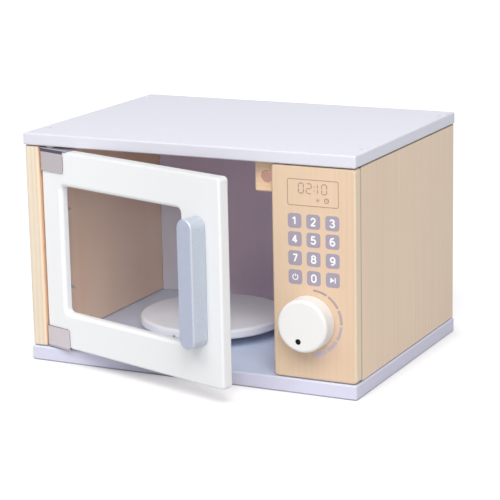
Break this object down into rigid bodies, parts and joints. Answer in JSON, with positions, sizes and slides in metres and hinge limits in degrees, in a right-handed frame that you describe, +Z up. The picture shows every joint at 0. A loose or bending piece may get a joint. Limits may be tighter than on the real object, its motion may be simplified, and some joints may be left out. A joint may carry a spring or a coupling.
{
  "type": "toy microwave",
  "caption": "Wooden toy microwave with a hinged window door, a turning dial and a turntable, standing on its base board.",
  "frame": {"origin": "middle of the base board's underside, on the surface the microwave stands on", "axes": "+Z up, +X to the right seen from the front, +Y from the door to the back"},
  "size_m": [0.2992, 0.2845, 0.195],
  "materials": {
    "lavender_paint": "satin pale lavender paint on board",
    "grey_paint": "matt grey paint on board",
    "natural_wood": "matt clear varnish",
    "ply_wood": "matt clear varnish",
    "white_paint": "satin white paint",
    "knob_paint": "satin warm white paint",
    "disc_paint": "matt off-white paint",
    "silver_paint": "silvery blue-grey paint",
    "nickel": "nickel plated",
    "zinc": "zinc plated",
    "black_paint": "matt black",
    "clear_plastic": "clear sheet",
    "white_nylon": "natural nylon"
  },
  "bodies": {
    "case": {"base_panel": "lavender_paint", "top_panel": "lavender_paint", "top_plug_1": "lavender_paint", "top_plug_2": "lavender_paint", "top_plug_3": "lavender_paint", "top_plug_4": "lavender_paint", "back_panel": "grey_paint", "divider_panel": "grey_paint", "left_side_panel": "natural_wood", "control_panel": "natural_wood", "catch_block": "natural_wood", "turntable_spacer": "natural_wood", "right_side_panel": "ply_wood", "catch_magnet": "nickel", "pivot_bush_top": "white_nylon", "pivot_bush_bottom": "white_nylon", "knob_front_washer": "white_nylon", "turntable_slip_washer": "white_nylon", "top_screw_1": "zinc", "top_screw_2": "zinc", "top_screw_3": "zinc", "top_screw_4": "zinc", "base_screw_1": "zinc", "base_screw_2": "zinc", "base_screw_3": "zinc", "base_screw_4": "zinc", "base_screw_5": "zinc", "base_screw_6": "zinc", "turntable_retaining_washer": "zinc"},
    "door": {"door_frame": "white_paint", "window_pane": "clear_plastic", "door_handle": "silver_paint", "hinge_clip_top": "nickel", "hinge_clip_bottom": "nickel", "pivot_pin_top": "zinc", "pivot_pin_bottom": "zinc", "strike_plate": "zinc", "strike_screw": "zinc", "glazing_point_1": "zinc", "glazing_point_2": "zinc", "glazing_point_3": "zinc", "glazing_point_4": "zinc", "glazing_point_5": "zinc", "glazing_point_6": "zinc", "glazing_point_7": "zinc", "glazing_point_8": "zinc", "handle_screw_1": "zinc", "handle_screw_2": "zinc", "hinge_clip_screw_1": "zinc", "hinge_clip_screw_2": "zinc", "hinge_clip_screw_3": "zinc", "hinge_clip_screw_4": "zinc"},
    "dial": {"knob": "knob_paint", "knob_dot": "black_paint", "knob_bolt": "zinc", "knob_rear_washer": "zinc", "knob_lock_nut": "zinc"},
    "turntable": {"turntable_disc": "disc_paint", "turntable_bolt": "zinc"}
  },
  "joints": [
    {"name": "door_hinge", "type": "hinge", "parent": "case", "child": "door", "pos_m": [-0.12534, -0.1025, 0.0985], "axis": [0, 0, -1], "range_deg": [-17.1, 87.9]},
    {"name": "dial_spin", "type": "hinge", "parent": "case", "child": "dial", "pos_m": [0.1092, -0.1071, 0.0598], "axis": [0, -1, 0], "continuous": true},
    {"name": "turntable_spin", "type": "hinge", "parent": "case", "child": "turntable", "pos_m": [-0.02925, -0.00605, 0.0199], "axis": [0, 0, 1], "continuous": true}
  ]
}
